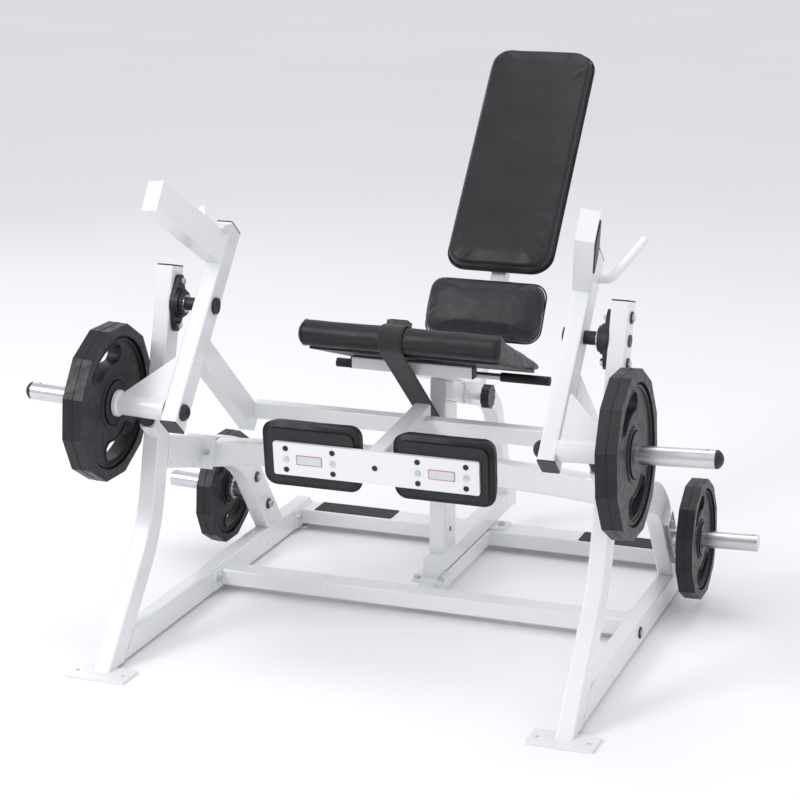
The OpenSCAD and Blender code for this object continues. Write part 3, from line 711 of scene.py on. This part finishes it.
STITCH_IN, STITCH_OUT = 0.006, 2.0
for tag, x in (("a", BELT_X0 + STITCH_IN), ("b", BELT_X1 - STITCH_IN)):
    pts = []
    for i in range(len(belt) - 1):
        n = -side_view_normal(belt, i)
        pts.append(Vector((x, (belt[i][0] + n.x * STITCH_OUT - Y_MID) / 1000,
                           (belt[i][1] + n.y * STITCH_OUT) / 1000)))
    tube_loop(f"belt_stitch_{tag}", pts, 0.0006, VINYL_LIGHT, "frame", sides=5, closed=False)

# loose tongue of the strap beyond the buckle
tongue = [(470 + 5 * i, 934 - 1.9 * i + 1.6 * math.sin(i * 0.55)) for i in range(9)]
strap("belt_tongue", tongue, -0.046, 0.008, 0.0030)


# ---------- plates: mould line, rim and hub rings, window lips ----------

def ring_band(name, m, r0, r1, x0, x1, mat, body):
    """A raised ring with a rounded top, round local x, from radius r0 to r1."""
    steps, around = 6, 72
    bm = bmesh.new()
    profile = []
    for i in range(steps + 1):
        a = math.pi * i / steps
        r = (r0 + r1) / 2 - (r1 - r0) / 2 * math.cos(a)
        profile.append((r, x0 + (x1 - x0) * math.sin(a) ** 0.6))
    rows = []
    for j in range(around):
        a = 2 * math.pi * j / around
        rows.append([bm.verts.new((x, r * math.cos(a), r * math.sin(a))) for r, x in profile])
    for j in range(around):
        bridge(bm, rows[j], rows[(j + 1) % around])
    bmesh.ops.recalc_face_normals(bm, faces=bm.faces)
    o = new_object(name, bm, m)
    by_angle(o, 50)
    belongs(o, mat, body)


def window_points(r_mid, half_width, half_angle, mid):
    """Outline of a window along an arc: two arcs round the hub, joined by round ends."""
    arc_steps, end_steps = 24, 12
    pts = []
    for end in (1, -1):
        r = r_mid + end * half_width
        for i in range(arc_steps + 1):
            a = math.radians(mid + end * (2 * half_angle * i / arc_steps - half_angle))
            pts.append((r * math.cos(a), r * math.sin(a)))
        ea = math.radians(mid + end * half_angle)
        for i in range(1, end_steps):
            b = ea + (0 if end > 0 else math.pi) + math.pi * i / end_steps
            pts.append((r_mid * math.cos(ea) + half_width * math.cos(b),
                        r_mid * math.sin(ea) + half_width * math.sin(b)))
    return pts


PLATE_D = 0.450
PLATE_SIDES, RIM_STEPS = 12, 8
WINDOW_MIDS = (-74, 110)
# how deep inside the plate's two end planes the rings and the window lips sit
RING_DEPTH = 0.011
# Name, horn's root in CAD millimetres, its upward tilt, the plate's place along it, the plate's size
# against the largest one, and its thickness.
WEIGHTS = (("loaded", (519, 91.2369, 708.366), 2.5, 0.2022, 1.0, 0.058),
           ("stored", (700, 938, 226), 2.0, 0.0442, 362 / 450, 0.050))
# Name, inner and outer radius on the largest plate, and height of a raised ring.
RINGS = (("rim", 0.176, 0.186, 0.006), ("hub", 0.064, 0.076, 0.005))


def mould_line(m, d, x):
    """Points round the twelve-sided rim, at x along the horn."""
    pts = []
    for i in range(PLATE_SIDES):
        a, b = math.radians(15 + 30 * i), math.radians(45 + 30 * i)
        for j in range(RIM_STEPS):
            f = j / RIM_STEPS
            pts.append(m @ Vector((x, d / 2 * ((1 - f) * math.cos(a) + f * math.cos(b)),
                                   d / 2 * ((1 - f) * math.sin(a) + f * math.sin(b)))))
    return pts


for side, s in SIDES:
    for tag, root, tilt, along, k, t in WEIGHTS:
        m = side_frame(root, tilt, s) @ shift(along, 0, 0)
        body = f"{tag}_weight_{side}"
        tube_loop(f"{tag}_mould_line_{side}", mould_line(m, PLATE_D * k, t / 2), 0.0016, URETHANE, body,
                  sides=6)
        for face, x0, out in (("outer", t - RING_DEPTH, 1), ("inner", RING_DEPTH, -1)):
            for ring, r0, r1, rise in RINGS:
                ring_band(f"{tag}_{ring}_ring_{face}_{side}", m, r0 * k, r1 * k, x0 - 0.001 * out,
                          x0 + rise * out, URETHANE, body)
            for w, mid in enumerate(WINDOW_MIDS):
                pts = [m @ Vector((x0 + 0.0005 * out, a, b))
                       for a, b in window_points(0.140 * k, 0.0285 * k, 24, mid)]
                tube_loop(f"{tag}_window_lip_{face}_{w}_{side}", pts, 0.0030, URETHANE, body)


# ---------- blank labels, counterweight pads and the rail's end plate ----------

def card(name, m, w, h, mat, body, thick=0.0008, r=0.004):
    """A thin rounded sticker or plate in the local xy plane."""
    bm = bmesh.new()
    pts = outline(w, h, r, 0.004)
    low = [bm.verts.new((p.x, p.y, 0)) for p in pts]
    mid = [bm.verts.new((p.x, p.y, thick * 0.7)) for p in pts]
    top = [bm.verts.new((p.x * (1 - 0.0006 / w), p.y * (1 - 0.0006 / h), thick)) for p in pts]
    bridge(bm, low, mid)
    bridge(bm, mid, top)
    bm.faces.new(top)
    bm.faces.new(list(reversed(low)))
    bmesh.ops.recalc_face_normals(bm, faces=bm.faces)
    o = new_object(name, bm, m)
    by_angle(o, 30)
    belongs(o, mat, body)


FRONT = turn(90, "X")
LABEL_W, LABEL_H, LABEL_RIM = 0.078, 0.030, 0.005
for tag, s in SIDES:
    name = f"plate_label_{tag}"
    m = ANKLE @ shift(s * ANKLE_X, -0.005, 0.0) @ FRONT
    card(name + "_border", m, LABEL_W, LABEL_H, LABEL_EDGE, "swing_frame")
    card(name + "_blank", m @ shift(0, 0, 0.0006), LABEL_W - LABEL_RIM, LABEL_H - LABEL_RIM, LABEL,
         "swing_frame")

for tag, s in SIDES:
    m = KNEE @ shift(0.544, 0.166, 0.038) @ turn(12.8, "Y")
    m = m @ turn(3.75, "X") @ shift(0.0258, 0, 0.205)
    m = m @ turn(90, "Y")
    card(f"counterweight_side_pad_{tag}", (m if s > 0 else MIRROR @ m), 0.215, 0.076, BOARD,
         "swing_frame", thick=0.0045, r=0.022)

# white plate over the front end of the seat rail
card("rail_end_plate", at(0, 782, 656.2, 0) @ FRONT, 0.0498, 0.0620, WHITE, "frame",
     thick=0.0025)


# ---------- stage, light, camera ----------

def studio_floor():
    """Pale flat floor, open on every side so that any view is clear."""
    n, half = 8, 45.0
    bm = bmesh.new()
    v = [[bm.verts.new((-half + 2 * half * i / n, -half + 2 * half * j / n, 0)) for j in range(n + 1)]
         for i in range(n + 1)]
    for i in range(n):
        for j in range(n):
            bm.faces.new((v[i][j], v[i + 1][j], v[i + 1][j + 1], v[i][j + 1]))
    o = new_object("studio_floor", bm, shift(0, 0, -0.0005))
    k = Mat("studio floor", 0.9, Specular_IOR_Level=0.1)
    k.colour(k.ramp(k.noise(0.4, 2), [(0.3, (0.90, 0.90, 0.905)), (0.7, (0.92, 0.92, 0.925))]))
    dress(o, k.m)


def area(name, loc, target, size, power):
    d = bpy.data.lights.new(name, "AREA")
    d.shape = "RECTANGLE"
    d.size, d.size_y = size
    d.energy = power
    o = bpy.data.objects.new(name, d)
    o.location = loc
    o.rotation_mode = "QUATERNION"
    o.rotation_quaternion = (Vector(target) - Vector(loc)).to_track_quat("-Z", "Y")
    bpy.context.scene.collection.objects.link(o)


def photo_camera(place, lens, forward, rightward):
    """Camera at place, looking along forward, with its right-hand side along rightward."""
    d = bpy.data.cameras.new("camera")
    d.lens = lens
    d.sensor_width = 36
    d.clip_end = 60
    o = bpy.data.objects.new("camera", d)
    fwd = Vector(forward).normalized()
    right = Vector(rightward)
    right = (right - fwd * right.dot(fwd)).normalized()
    m = Matrix((right, right.cross(fwd), -fwd)).transposed().to_4x4()
    m.translation = place
    o.matrix_world = m
    bpy.context.scene.collection.objects.link(o)
    bpy.context.scene.camera = o


studio_floor()
area("key", (-3.2, -4.5, 4.6), (0, 0, 0.7), (2.2, 2.2), 150)
area("fill", (5.0, -3.5, 2.6), (0, 0, 0.6), (2.5, 2.5), 24)
area("top", (0.5, 0.8, 5.2), (0, 0, 0.6), (3.0, 3.0), 52)
area("rim", (-4.2, 3.6, 3.2), (0, 0, 0.9), (2.2, 2.2), 20)
world = bpy.context.scene.world or bpy.data.worlds.new("world")
bpy.context.scene.world = world
world.use_nodes = True
world.node_tree.nodes["Background"].inputs[0].default_value = (0.95, 0.96, 1.0, 1)
world.node_tree.nodes["Background"].inputs[1].default_value = 0.82
bpy.context.scene.view_settings.view_transform = "Standard"
photo_camera((2.062, -6.217, 2.336), 100.8, (-0.3229, 0.9116, -0.2549), (0.942, 0.3356, 0.0064))
